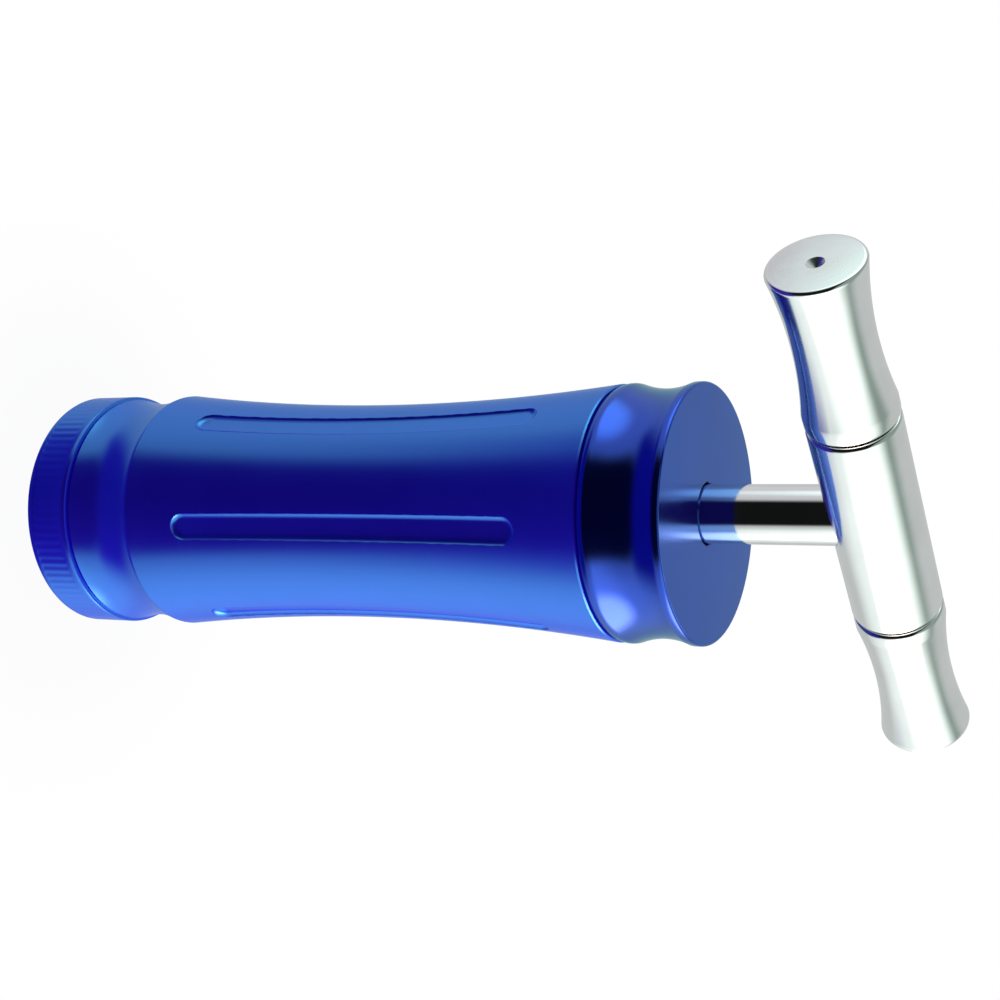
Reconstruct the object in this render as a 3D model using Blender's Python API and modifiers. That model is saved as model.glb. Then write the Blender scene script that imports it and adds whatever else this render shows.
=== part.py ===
"""A T-handle screw press: a waisted aluminium barrel that stands on a screw-on base.

A screw spindle with a crossbar runs through the screw-on top cap and drives a swivelling
piston down the barrel's bore, towards a loose slug that lies on the base.
The frame has its origin at the centre of the base's underside, with +Z up the axis of
the barrel, and the crossbar lies along X. Lengths are in metres.
"""

import math

import bmesh
import bpy
from mathutils import Matrix, Vector

MM = 0.001
GAP = 0.3 * MM
MERGE = 0.01 * MM
SHARP_ANGLE = math.radians(30)

# Heights up the axis
BASE_RIM_TOP = 7.9 * MM
BARREL_BOTTOM = BASE_RIM_TOP + GAP
CREST = 20.3 * MM
BARREL_TOP = 99.05 * MM
CAP_BOTTOM = BARREL_TOP + GAP
CAP_TOP = 111.6 * MM
BAR_HEIGHT = 136.05 * MM

# Outside radii
BASE_RADIUS = 19.2 * MM
BODY_RADIUS = 19.05 * MM
WAIST_SAG = 2.26 * MM
SCOOP_SAG = 0.95 * MM
CAP_SCOOP_SAG = 0.85 * MM
CAP_RADIUS = 19.1 * MM
EDGE = 0.35 * MM

# Bore, and the counterbores that take the screwed spigots of the base and the top cap
BORE_RADIUS = 11.0 * MM
THREAD_BORE_RADIUS = 14.0 * MM
SPIGOT_RADIUS = THREAD_BORE_RADIUS - GAP
LOWER_STEP = 16.6 * MM
UPPER_STEP = 88.0 * MM
SPIGOT_TOP = 15.7 * MM
SPIGOT_BOTTOM = 89.6 * MM
SEAL_GROOVE_RADIUS = 11.9 * MM
SEAL_GROOVE_HEIGHT = 3.0 * MM
SEAL_RADIUS = 0.8 * MM
SEAL_RING_RADIUS = 12.9 * MM

# Flutes of the barrel: a ball-nosed cut that follows the waist
FLUTE_COUNT = 6
FLUTE_TURN = math.radians(-3.4)
FLUTE_LOW = 28.7 * MM
FLUTE_HIGH = 89.1 * MM
FLUTE_BALL = 3.8 * MM
FLUTE_DEPTH = 0.73 * MM
FLUTE_END = 2.05 * MM

# Nut in the boss at the cap's lower end
BOSS_BOTTOM = 77.1 * MM
BOSS_RADIUS = BORE_RADIUS - 0.4 * MM
NUT_POCKET_RADIUS = 8.5 * MM
NUT_RADIUS = NUT_POCKET_RADIUS - GAP
NUT_BOTTOM = 79.3 * MM
NUT_TOP = 90.7 * MM
CIRCLIP_GROOVE_RADIUS = 9.3 * MM
CIRCLIP_GROOVE = (77.9 * MM, 79.1 * MM)
NUT_PIN_PLACE = 8.35 * MM
NUT_PIN_RADIUS = 0.7 * MM
NUT_PIN_TOP = 86.0 * MM

# Spindle
SPINDLE_RADIUS = 4.3 * MM
SPINDLE_BORE_RADIUS = SPINDLE_RADIUS + 0.2 * MM
SPINDLE_TOP = 139.4 * MM
THREAD_RADIUS = 6.0 * MM
SHOULDER = 105.4 * MM
THREAD_BOTTOM = 76.8 * MM
JOURNAL_RADIUS = 4.0 * MM
JOURNAL_BOTTOM = 67.0 * MM
NECK_RADIUS = 3.2 * MM
NECK = (71.0 * MM, 72.6 * MM)
SCREW_CHAMBER_RADIUS = 6.6 * MM
SCREW_CHAMBER_TOP = 107.0 * MM
WIPER_GROOVE_RADIUS = 6.3 * MM
WIPER_GROOVE = (108.2 * MM, 110.2 * MM)
WIPER_RADIUS = 0.7 * MM
WIPER_RING_RADIUS = 5.4 * MM

# Piston, ball and slug
PISTON_RADIUS = BORE_RADIUS - GAP
PISTON_TOP = 76.4 * MM
PISTON_BOTTOM = 61.5 * MM
SOCKET_FLOOR = 63.1 * MM
RING_GROOVE_RADIUS = 5.5 * MM
BALL_RADIUS = 2.5 * MM
SLUG_HEIGHT = 13.0 * MM

# Crossbar
HUB_RADIUS = 6.45 * MM
HUB_HALF = 17.1 * MM
GRIP_START = HUB_HALF + GAP
GRIP_LAND = 19.6 * MM
GRIP_END = 42.0 * MM
GRIP_END_RADIUS = 6.56 * MM
GRIP_SAG = 0.98 * MM
ROD_RADIUS = 2.5 * MM
ROD_HALF = 30.0 * MM
DIMPLE_RADIUS = 1.25 * MM
DIMPLE_DEPTH = 1.0 * MM

STEPS = 36
SMALL_STEPS = 24
TINY_STEPS = 12
SEAL_SIDES = 8


def clear_scene():
    """Empties the scene that the file opened with."""
    for thing in list(bpy.data.objects):
        bpy.data.objects.remove(thing, do_unlink=True)


def collection(name):
    """A new collection under the scene."""
    group = bpy.data.collections.new(name)
    bpy.context.scene.collection.children.link(group)
    return group


clear_scene()
PARTS = collection("t_handle_press")
CUTTERS = collection("cutters")


def material(name, colour, roughness, metallic):
    """A plain Principled material."""
    made = bpy.data.materials.new(name)
    made.use_nodes = True
    shader = made.node_tree.nodes["Principled BSDF"]
    shader.inputs["Base Color"].default_value = (*colour, 1.0)
    shader.inputs["Roughness"].default_value = roughness
    shader.inputs["Metallic"].default_value = metallic
    return made


ANODISED = material("blue_anodised", (0.012, 0.03, 0.42), 0.3, 1.0)
CHROME = material("polished_chrome", (0.85, 0.87, 0.86), 0.06, 1.0)
STEEL = material("ground_steel", (0.55, 0.56, 0.57), 0.3, 1.0)
BRONZE = material("bronze", (0.62, 0.38, 0.14), 0.35, 1.0)
RUBBER = material("black_rubber", (0.02, 0.02, 0.02), 0.7, 0.0)
WASHER = material("white_washer", (0.8, 0.8, 0.77), 0.5, 0.0)


def place(made, look, group, parent=None):
    """Gives an object its material, its collection and its parent."""
    made.data.materials.append(look)
    group.objects.link(made)
    if parent:
        made.parent = parent
    return made


def axis_empty(name, height):
    """An empty on the barrel's axis, which a moving group hangs from."""
    made = bpy.data.objects.new(name, None)
    made.location = (0, 0, height)
    made.empty_display_size = 10 * MM
    PARTS.objects.link(made)
    return made


def bow(start, end, sag, count):
    """Points after start, up to and with end, on the arc between them that dips by sag to the axis.

    A negative sag makes the arc bulge outwards.
    """
    first, last = Vector(start), Vector(end)
    along = (last - first).normalized()
    inward = Vector((-abs(along.y), math.copysign(along.x, along.x * along.y)))
    inward *= math.copysign(1.0, sag)
    half = (last - first).length / 2
    radius = (half**2 + sag**2) / (2 * abs(sag))
    centre = (first + last) / 2 - inward * (radius - abs(sag))
    reach = math.asin(half / radius)
    points = []
    for step in range(1, count + 1):
        angle = reach * (2 * step / count - 1)
        points.append(centre + radius * (inward * math.cos(angle) + along * math.sin(angle)))
    return [tuple(point) for point in points]


def turned(name, outline, look, steps, ring=False, group=PARTS, parent=None):
    """A turned piece: an outline of (radius, height) points, swept round by a Screw modifier.

    The outline runs down its outer side. A ring's outline closes on itself, and any other
    starts and ends on the axis.
    """
    mesh = bpy.data.meshes.new(name)
    points = [(radius, 0.0, height) for radius, height in outline]
    edges = [(index, index + 1) for index in range(len(points) - 1)]
    if ring:
        edges.append((len(points) - 1, 0))
    mesh.from_pydata(points, edges, [])
    made = place(bpy.data.objects.new(name, mesh), look, group, parent)
    screw = made.modifiers.new("turn", "SCREW")
    screw.axis = "Z"
    screw.steps = steps
    screw.render_steps = steps
    screw.use_merge_vertices = True
    screw.merge_threshold = MERGE
    screw.use_smooth_shade = True
    return made


def ring(name, inner, outer, low, high, look, steps, parent=None, edge=0.0):
    """A flat ring between two radii and two heights, with its outer edges bevelled by edge."""
    outline = [(inner, high), (outer - edge, high)]
    if edge:
        outline += [(outer, high - edge), (outer, low + edge)]
    else:
        outline += [(outer, high)]
    outline += [(outer - edge, low), (inner, low)]
    return turned(name, outline, look, steps, ring=True, parent=parent)


def o_ring(name, ring_radius, section_radius, height, parent=None):
    """A rubber O-ring that lies level on the axis."""
    bpy.ops.mesh.primitive_torus_add(
        major_radius=ring_radius,
        minor_radius=section_radius,
        major_segments=STEPS,
        minor_segments=SEAL_SIDES,
        location=(0, 0, height),
    )
    made = bpy.context.object
    made.name = name
    made.data.name = name
    for owner in list(made.users_collection):
        owner.objects.unlink(made)
    made.data.shade_smooth()
    return place(made, RUBBER, PARTS, parent)


def rod(name, radius, length, look, steps, group=PARTS, parent=None):
    """A plain round rod along its own Z, centred on its origin."""
    mesh = bpy.data.meshes.new(name)
    shape = bmesh.new()
    bmesh.ops.create_cone(
        shape, cap_ends=True, segments=steps, radius1=radius, radius2=radius, depth=length
    )
    shape.to_mesh(mesh)
    shape.free()
    mesh.shade_smooth()
    mesh.set_sharp_from_angle(angle=SHARP_ANGLE)
    return place(bpy.data.objects.new(name, mesh), look, group, parent)


def cutter(made):
    """Marks an object as a cutter."""
    made.hide_render = True
    made.display_type = "WIRE"
    return made


def cut(piece, tool):
    """Cuts a tool's shape out of a piece."""
    boolean = piece.modifiers.new("cut_" + tool.name, "BOOLEAN")
    boolean.operation = "DIFFERENCE"
    boolean.solver = "EXACT"
    boolean.object = tool


def lay_along_x(made):
    """Turns a piece so that its own Z points along +X."""
    made.rotation_euler = (0, math.pi / 2, 0)


def split_ring(piece, width, reach, height, parent=None):
    """Cuts the opening of a snap ring, on the +Y side."""
    mesh = bpy.data.meshes.new(piece.name + "_gap")
    shape = bmesh.new()
    bmesh.ops.create_cube(shape, size=1.0, matrix=Matrix.Diagonal((width, reach, 4 * MM, 1)))
    shape.to_mesh(mesh)
    shape.free()
    tool = place(bpy.data.objects.new(piece.name + "_gap", mesh), STEEL, CUTTERS)
    tool.location = (0, reach / 2 + NECK_RADIUS / 2, height)
    cut(piece, cutter(tool))


def waist_radius(height):
    """The barrel's outside radius at a height between the crest and the top."""
    half = (BARREL_TOP - EDGE - CREST) / 2
    arc_radius = (half**2 + WAIST_SAG**2) / (2 * WAIST_SAG)
    rise = height - (CREST + half)
    return BODY_RADIUS - WAIST_SAG + arc_radius - math.sqrt(arc_radius**2 - rise**2)


def flute_cutter(index):
    """One flute's cutter: a round bar with ball ends, bent along the waist."""
    curve = bpy.data.curves.new("flute_path", "CURVE")
    curve.dimensions = "3D"
    curve.bevel_depth = FLUTE_BALL
    curve.bevel_resolution = 7
    curve.use_fill_caps = True
    low = FLUTE_LOW + FLUTE_END
    high = FLUTE_HIGH - FLUTE_END
    stations = []
    for step in range(6):
        angle = math.pi / 2 * (1 - step / 6) * 0.97
        stations.append((low - FLUTE_BALL * math.sin(angle), math.cos(angle)))
    for step in range(9):
        stations.append((low + (high - low) * step / 8, 1.0))
    for step in range(1, 7):
        angle = math.pi / 2 * step / 6 * 0.97
        stations.append((high + FLUTE_BALL * math.sin(angle), math.cos(angle)))
    spline = curve.splines.new("POLY")
    spline.points.add(len(stations) - 1)
    for point, (height, width) in zip(spline.points, stations):
        along = min(max(height, low), high)
        reach = waist_radius(along) - FLUTE_DEPTH + FLUTE_BALL
        point.co = (reach, 0, height, 1)
        point.radius = width
    path = bpy.data.objects.new("flute_path", curve)
    bpy.context.scene.collection.objects.link(path)
    bpy.context.view_layer.update()
    graph = bpy.context.evaluated_depsgraph_get()
    mesh = bpy.data.meshes.new_from_object(path.evaluated_get(graph))
    bpy.data.objects.remove(path, do_unlink=True)
    shape = bmesh.new()
    shape.from_mesh(mesh)
    bmesh.ops.remove_doubles(shape, verts=shape.verts, dist=MERGE)
    bmesh.ops.recalc_face_normals(shape, faces=shape.faces)
    shape.to_mesh(mesh)
    shape.free()
    made = place(bpy.data.objects.new(f"flute_{index + 1}", mesh), STEEL, CUTTERS)
    made.rotation_euler = (0, 0, FLUTE_TURN + index * math.tau / FLUTE_COUNT)
    return cutter(made)


def make_barrel():
    """The waisted barrel: bored through, counterbored for both caps, with six flutes."""
    outline = [(BODY_RADIUS - EDGE, BARREL_TOP), (BODY_RADIUS, BARREL_TOP - EDGE)]
    outline += bow(outline[-1], (BODY_RADIUS, CREST), WAIST_SAG, 12)
    outline.append((BODY_RADIUS - 0.1 * MM, CREST - 0.5 * MM))
    foot = (BODY_RADIUS - EDGE, BARREL_BOTTOM + 0.2 * MM)
    outline += bow(outline[-1], foot, SCOOP_SAG, 6)
    outline += [
        (BODY_RADIUS - 0.55 * MM, BARREL_BOTTOM),
        (THREAD_BORE_RADIUS + GAP, BARREL_BOTTOM),
        (THREAD_BORE_RADIUS, BARREL_BOTTOM + GAP),
        (THREAD_BORE_RADIUS, LOWER_STEP),
        (BORE_RADIUS, LOWER_STEP),
        (BORE_RADIUS, UPPER_STEP),
        (THREAD_BORE_RADIUS, UPPER_STEP),
        (THREAD_BORE_RADIUS, BARREL_TOP - GAP),
        (THREAD_BORE_RADIUS + GAP, BARREL_TOP),
    ]
    barrel = turned("barrel", outline, ANODISED, STEPS, ring=True)
    for index in range(FLUTE_COUNT):
        cut(barrel, flute_cutter(index))


def make_base(parent):
    """The knurled base cap, its seal, and the slug that lies on it."""
    groove_top = BASE_RIM_TOP + SEAL_GROOVE_HEIGHT
    outline = [
        (0, SPIGOT_TOP),
        (SPIGOT_RADIUS - EDGE, SPIGOT_TOP),
        (SPIGOT_RADIUS, SPIGOT_TOP - EDGE),
        (SPIGOT_RADIUS, groove_top),
        (SEAL_GROOVE_RADIUS, groove_top),
        (SEAL_GROOVE_RADIUS, BASE_RIM_TOP),
        (BASE_RADIUS - EDGE, BASE_RIM_TOP),
        (BASE_RADIUS, BASE_RIM_TOP - EDGE),
        (BASE_RADIUS, EDGE),
        (BASE_RADIUS - EDGE, 0),
        (0, 0),
    ]
    turned("base_cap", outline, ANODISED, STEPS, parent=parent)
    o_ring("base_seal", SEAL_RING_RADIUS, SEAL_RADIUS, BASE_RIM_TOP + 1.5 * MM, parent)


def make_slug(parent):
    """The loose steel slug, which lies on the base cap's spigot."""
    low = SPIGOT_TOP + GAP
    high = low + SLUG_HEIGHT
    outline = [
        (0, high),
        (PISTON_RADIUS - EDGE, high),
        (PISTON_RADIUS, high - EDGE),
        (PISTON_RADIUS, low + EDGE),
        (PISTON_RADIUS - EDGE, low),
        (0, low),
    ]
    turned("lower_slug", outline, STEEL, STEPS, parent=parent)


def pin_hole():
    """The cutter for the dowel that keys the nut to the cap."""
    low = CIRCLIP_GROOVE[1] - 0.1 * MM
    high = NUT_PIN_TOP + GAP
    tool = rod("nut_pin_hole", NUT_PIN_RADIUS + GAP, high - low, STEEL, TINY_STEPS, CUTTERS)
    tool.location = (NUT_PIN_PLACE, 0, (low + high) / 2)
    return cutter(tool)


def make_top_cap(parent, hole):
    """The scooped top cap: screwed spigot, boss with the nut's pocket, and spindle bore."""
    groove_low = CAP_BOTTOM - SEAL_GROOVE_HEIGHT
    outline = [(CAP_RADIUS - 0.4 * MM, CAP_TOP)]
    outline += bow(outline[-1], (CAP_RADIUS, CAP_TOP - 0.4 * MM), -0.12 * MM, 2)
    outline.append((CAP_RADIUS, CAP_TOP - 1.2 * MM))
    outline += bow(outline[-1], (CAP_RADIUS - 0.1 * MM, CAP_BOTTOM + 1.85 * MM), CAP_SCOOP_SAG, 6)
    outline += bow(outline[-1], (CAP_RADIUS - 0.3 * MM, CAP_BOTTOM), -0.2 * MM, 3)
    outline += [
        (SEAL_GROOVE_RADIUS, CAP_BOTTOM),
        (SEAL_GROOVE_RADIUS, groove_low),
        (SPIGOT_RADIUS, groove_low),
        (SPIGOT_RADIUS, SPIGOT_BOTTOM + EDGE),
        (SPIGOT_RADIUS - EDGE, SPIGOT_BOTTOM),
        (BOSS_RADIUS, SPIGOT_BOTTOM),
        (BOSS_RADIUS, BOSS_BOTTOM + EDGE),
        (BOSS_RADIUS - EDGE, BOSS_BOTTOM),
        (NUT_POCKET_RADIUS, BOSS_BOTTOM),
        (NUT_POCKET_RADIUS, CIRCLIP_GROOVE[0]),
        (CIRCLIP_GROOVE_RADIUS, CIRCLIP_GROOVE[0]),
        (CIRCLIP_GROOVE_RADIUS, CIRCLIP_GROOVE[1]),
        (NUT_POCKET_RADIUS, CIRCLIP_GROOVE[1]),
        (NUT_POCKET_RADIUS, NUT_TOP + GAP),
        (SCREW_CHAMBER_RADIUS, NUT_TOP + GAP),
        (SCREW_CHAMBER_RADIUS, SCREW_CHAMBER_TOP),
        (SPINDLE_BORE_RADIUS, SCREW_CHAMBER_TOP),
        (SPINDLE_BORE_RADIUS, WIPER_GROOVE[0]),
        (WIPER_GROOVE_RADIUS, WIPER_GROOVE[0]),
        (WIPER_GROOVE_RADIUS, WIPER_GROOVE[1]),
        (SPINDLE_BORE_RADIUS, WIPER_GROOVE[1]),
        (SPINDLE_BORE_RADIUS, CAP_TOP - 0.2 * MM),
        (SPINDLE_BORE_RADIUS + 0.2 * MM, CAP_TOP),
    ]
    cap = turned("top_cap", outline, ANODISED, STEPS, ring=True, parent=parent)
    cut(cap, hole)
    o_ring("cap_seal", SEAL_RING_RADIUS, SEAL_RADIUS, CAP_BOTTOM - 1.3 * MM, parent)
    wiper_height = sum(WIPER_GROOVE) / 2
    o_ring("spindle_wiper", WIPER_RING_RADIUS, WIPER_RADIUS, wiper_height, parent)


def make_nut(parent, hole):
    """The bronze nut, its dowel and its snap ring."""
    bore = THREAD_RADIUS + GAP
    nut = ring("spindle_nut", bore, NUT_RADIUS, NUT_BOTTOM, NUT_TOP, BRONZE, STEPS, parent, EDGE)
    cut(nut, hole)
    length = NUT_PIN_TOP - NUT_BOTTOM
    pin = rod("nut_pin", NUT_PIN_RADIUS, length, STEEL, TINY_STEPS, parent=parent)
    pin.location = (NUT_PIN_PLACE, 0, (NUT_PIN_TOP + NUT_BOTTOM) / 2)
    low, high = CIRCLIP_GROOVE
    clip_outer = CIRCLIP_GROOVE_RADIUS - GAP
    clip_inner = THREAD_RADIUS + 1.0 * MM
    clip = ring("nut_circlip", clip_inner, clip_outer, low + GAP, high - GAP, STEEL, STEPS, parent)
    split_ring(clip, 4.0 * MM, 10.0 * MM, (low + high) / 2)


def make_piston(parent):
    """The press foot with its socket, and the snap ring that holds it on the spindle."""
    socket = JOURNAL_RADIUS + GAP
    outline = [
        (0, SOCKET_FLOOR),
        (socket, SOCKET_FLOOR),
        (socket, NECK[0]),
        (RING_GROOVE_RADIUS, NECK[0]),
        (RING_GROOVE_RADIUS, NECK[1]),
        (socket, NECK[1]),
        (socket, PISTON_TOP),
        (PISTON_RADIUS - EDGE, PISTON_TOP),
        (PISTON_RADIUS, PISTON_TOP - EDGE),
        (PISTON_RADIUS, PISTON_BOTTOM + EDGE),
        (PISTON_RADIUS - EDGE, PISTON_BOTTOM),
        (0, PISTON_BOTTOM),
    ]
    turned("upper_piston", outline, STEEL, STEPS, parent=parent)
    low, high = NECK[0] + GAP, NECK[1] - GAP
    inner, outer = NECK_RADIUS + GAP, RING_GROOVE_RADIUS - GAP
    clip = ring("piston_snap_ring", inner, outer, low, high, STEEL, SMALL_STEPS, parent)
    split_ring(clip, 3.0 * MM, 6.0 * MM, (low + high) / 2)


def rod_hole():
    """The cutter for the rod's way through spindle and hub."""
    tool = rod("rod_hole", ROD_RADIUS + GAP, 20 * MM, STEEL, SMALL_STEPS, CUTTERS)
    tool.location = (0, 0, BAR_HEIGHT)
    lay_along_x(tool)
    return cutter(tool)


def make_spindle(parent):
    """The spindle: smooth above its shoulder, threaded below, with a journal for the piston."""
    pocket = BALL_RADIUS + GAP
    pocket_top = SOCKET_FLOOR + 2 * (BALL_RADIUS + GAP)
    outline = [
        (0, SPINDLE_TOP),
        (SPINDLE_RADIUS - EDGE, SPINDLE_TOP),
        (SPINDLE_RADIUS, SPINDLE_TOP - EDGE),
        (SPINDLE_RADIUS, SHOULDER),
        (THREAD_RADIUS - EDGE, SHOULDER),
        (THREAD_RADIUS, SHOULDER - EDGE),
        (THREAD_RADIUS, THREAD_BOTTOM + EDGE),
        (THREAD_RADIUS - EDGE, THREAD_BOTTOM),
        (JOURNAL_RADIUS, THREAD_BOTTOM),
        (JOURNAL_RADIUS, NECK[1]),
        (NECK_RADIUS, NECK[1]),
        (NECK_RADIUS, NECK[0]),
        (JOURNAL_RADIUS, NECK[0]),
        (JOURNAL_RADIUS, JOURNAL_BOTTOM),
        (pocket, JOURNAL_BOTTOM),
        (pocket, pocket_top),
        (0, pocket_top),
    ]
    spindle = turned("spindle", outline, CHROME, STEPS, parent=parent)
    cut(spindle, rod_hole())
    washer_low = SHOULDER + GAP
    washer_high = SCREW_CHAMBER_TOP - GAP
    inner, outer = SPINDLE_RADIUS + GAP, SCREW_CHAMBER_RADIUS - 0.4 * MM
    ring("stop_washer", inner, outer, washer_low, washer_high, BRONZE, SMALL_STEPS, parent)
    mesh = bpy.data.meshes.new("thrust_ball")
    shape = bmesh.new()
    bmesh.ops.create_uvsphere(shape, u_segments=20, v_segments=12, radius=BALL_RADIUS)
    shape.to_mesh(mesh)
    shape.free()
    mesh.shade_smooth()
    ball = place(bpy.data.objects.new("thrust_ball", mesh), STEEL, PARTS, parent)
    ball.location = (0, 0, SOCKET_FLOOR + GAP + BALL_RADIUS)


def make_hub(parent):
    """The crossbar's plain middle, bored along for the rod and from below for the spindle."""
    outline = [
        (HUB_RADIUS - EDGE, HUB_HALF),
        (HUB_RADIUS, HUB_HALF - EDGE),
        (HUB_RADIUS, EDGE - HUB_HALF),
        (HUB_RADIUS - EDGE, -HUB_HALF),
        (ROD_RADIUS + GAP, -HUB_HALF),
        (ROD_RADIUS + GAP, HUB_HALF),
    ]
    hub = turned("hub", outline, CHROME, STEPS, ring=True, parent=parent)
    lay_along_x(hub)
    depth = SPINDLE_TOP + GAP - (BAR_HEIGHT - 2 * HUB_RADIUS)
    tool = rod("spindle_hole", SPINDLE_RADIUS + GAP, depth, STEEL, STEPS, CUTTERS)
    tool.location = (0, 0, SPINDLE_TOP + GAP - depth / 2)
    cut(hub, cutter(tool))


def make_grip(name, turn, parent):
    """One waisted end of the crossbar, from its seam with the hub out to the end face."""
    end_edge = 0.25 * MM
    outline = [
        (0, GRIP_END - DIMPLE_DEPTH),
        (DIMPLE_RADIUS, GRIP_END),
        (GRIP_END_RADIUS - end_edge, GRIP_END),
        (GRIP_END_RADIUS, GRIP_END - end_edge),
    ]
    outline += bow(outline[-1], (HUB_RADIUS, GRIP_LAND), GRIP_SAG, 8)
    rod_end = ROD_HALF + GAP
    outline += [
        (HUB_RADIUS, GRIP_START + EDGE),
        (HUB_RADIUS - EDGE, GRIP_START),
        (ROD_RADIUS + GAP, GRIP_START),
        (ROD_RADIUS + GAP, rod_end),
        (0, rod_end),
    ]
    grip = turned(name, outline, CHROME, STEPS, parent=parent)
    grip.rotation_euler = (0, math.pi / 2, turn)


def make_crossbar(parent):
    """The crossbar: hub, two grips, and the rod that joins them through the spindle."""
    make_hub(parent)
    make_grip("grip_right", 0.0, parent)
    make_grip("grip_left", math.pi, parent)
    tie = rod("crossbar_rod", ROD_RADIUS, 2 * ROD_HALF, STEEL, SMALL_STEPS, parent=parent)
    lay_along_x(tie)


def make_cap_washer(parent):
    """The flat washer on the barrel's upper step."""
    low, high = UPPER_STEP + GAP, SPIGOT_BOTTOM - GAP
    inner, outer = BORE_RADIUS + GAP, SPIGOT_RADIUS
    ring("cap_washer", inner, outer, low, high, WASHER, STEPS, parent)


def build():
    """Builds the press."""
    make_barrel()
    slug_slide = axis_empty("slug_slide", 0)
    base_screw = axis_empty("base_screw", 0)
    base_screw.parent = slug_slide
    make_slug(slug_slide)
    make_base(base_screw)
    washer_slide = axis_empty("washer_slide", 0)
    cap_screw = axis_empty("cap_screw", 0)
    cap_screw.parent = washer_slide
    make_cap_washer(washer_slide)
    hole = pin_hole()
    make_top_cap(cap_screw, hole)
    make_nut(cap_screw, hole)
    piston_slide = axis_empty("piston_slide", 0)
    piston_slide.parent = cap_screw
    make_piston(piston_slide)
    spindle_screw = axis_empty("spindle_screw", 0)
    spindle_screw.parent = piston_slide
    make_spindle(spindle_screw)
    crossbar = axis_empty("crossbar", BAR_HEIGHT)
    crossbar.parent = spindle_screw
    make_crossbar(crossbar)


build()
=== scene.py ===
"""The look of the T-handle screw press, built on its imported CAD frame.

The turned pieces are made again with finer profiles, flutes, a knurl and screw threads, and the
small inner pieces stay as packed and get better materials. Lengths are in metres.
"""

import math

import bpy
import numpy as np
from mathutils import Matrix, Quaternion, Vector


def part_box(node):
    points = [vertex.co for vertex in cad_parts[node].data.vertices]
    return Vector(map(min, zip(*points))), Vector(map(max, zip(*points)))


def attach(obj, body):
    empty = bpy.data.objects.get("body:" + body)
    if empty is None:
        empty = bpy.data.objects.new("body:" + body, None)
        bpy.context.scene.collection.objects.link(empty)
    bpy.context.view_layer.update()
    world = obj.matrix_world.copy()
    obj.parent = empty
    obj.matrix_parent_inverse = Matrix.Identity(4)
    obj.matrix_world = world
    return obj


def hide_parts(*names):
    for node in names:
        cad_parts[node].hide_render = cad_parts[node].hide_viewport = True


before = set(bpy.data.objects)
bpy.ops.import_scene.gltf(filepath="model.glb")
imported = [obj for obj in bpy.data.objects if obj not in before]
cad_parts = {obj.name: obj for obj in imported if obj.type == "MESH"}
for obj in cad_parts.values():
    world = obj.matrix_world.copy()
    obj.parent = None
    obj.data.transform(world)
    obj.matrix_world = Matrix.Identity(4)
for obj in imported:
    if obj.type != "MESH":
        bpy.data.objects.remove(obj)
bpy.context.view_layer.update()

MM = 0.001
GAP = 0.3 * MM
SHARP_ANGLE = math.radians(28)

# Two radii or heights closer than this count as the same
NEAR = 0.01 * MM

# Segments round a turned piece
FINE = 256
MEDIUM = 192
COARSE = 96
TOOL_SEGMENTS = 48
PIN_SEGMENTS = 24
LIP_STEPS = 6

# The sides that a rounded corner joins, as steps in (radius, height)
TOP_TO_SIDE = ((-1, 0), (0, -1))
SIDE_TO_BOTTOM = ((0, 1), (-1, 0))

# Heights and radii that the frame gives
BARREL_BOTTOM, BARREL_TOP = (point.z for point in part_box("barrel"))
BASE_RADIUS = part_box("base_cap")[1].y
SPIGOT_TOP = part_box("base_cap")[1].z
CAP_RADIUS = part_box("top_cap")[1].y
BOSS_BOTTOM, CAP_TOP = (point.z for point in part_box("top_cap"))
THREAD_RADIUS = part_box("spindle")[1].y
SPINDLE_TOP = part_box("spindle")[1].z
JOURNAL_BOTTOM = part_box("spindle")[0].z
HUB_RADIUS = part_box("hub")[1].y
HUB_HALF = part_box("hub")[1].x
BAR_HEIGHT = (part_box("hub")[0].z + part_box("hub")[1].z) / 2
GRIP_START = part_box("grip_right")[0].x
GRIP_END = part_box("grip_right")[1].x
GRIP_END_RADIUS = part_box("grip_right")[1].y

# The rest of the profiles, as in the CAD source
BASE_RIM_TOP = BARREL_BOTTOM - GAP
CAP_BOTTOM = BARREL_TOP + GAP
CREST = 20.3 * MM
BODY_RADIUS = 19.05 * MM
WAIST_SAG = 2.26 * MM
SCOOP_SAG = 0.95 * MM
CAP_SCOOP_SAG = 0.85 * MM
EDGE = 0.35 * MM
BORE_RADIUS = 11.0 * MM
THREAD_BORE_RADIUS = 14.0 * MM
SPIGOT_RADIUS = THREAD_BORE_RADIUS - GAP
LOWER_STEP = 16.6 * MM
UPPER_STEP = 88.0 * MM
SPIGOT_BOTTOM = 89.6 * MM
SEAL_GROOVE_RADIUS = 11.9 * MM
SEAL_GROOVE_HEIGHT = 3.0 * MM
SEAL_RADIUS = 0.8 * MM
SEAL_RING_RADIUS = 12.9 * MM
BASE_SEAL_HEIGHT = BASE_RIM_TOP + 1.5 * MM
CAP_SEAL_HEIGHT = CAP_BOTTOM - 1.3 * MM
CAP_RIM_ROUND = 0.4 * MM
CAP_RIM_HEIGHT = 1.2 * MM
CAP_BEAD_HEIGHT = 1.85 * MM
BOSS_RADIUS = BORE_RADIUS - 0.4 * MM
NUT_POCKET_RADIUS = 8.5 * MM
NUT_TOP = 90.7 * MM
CIRCLIP_GROOVE_RADIUS = 9.3 * MM
CIRCLIP_GROOVE = (77.9 * MM, 79.1 * MM)
PIN_PLACE = 8.35 * MM
PIN_RADIUS = 1.0 * MM
PIN_HOLE = (CIRCLIP_GROOVE[1] - 0.1 * MM, 86.3 * MM)
SPINDLE_RADIUS = 4.3 * MM
SPINDLE_BORE_RADIUS = SPINDLE_RADIUS + 0.2 * MM
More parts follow.
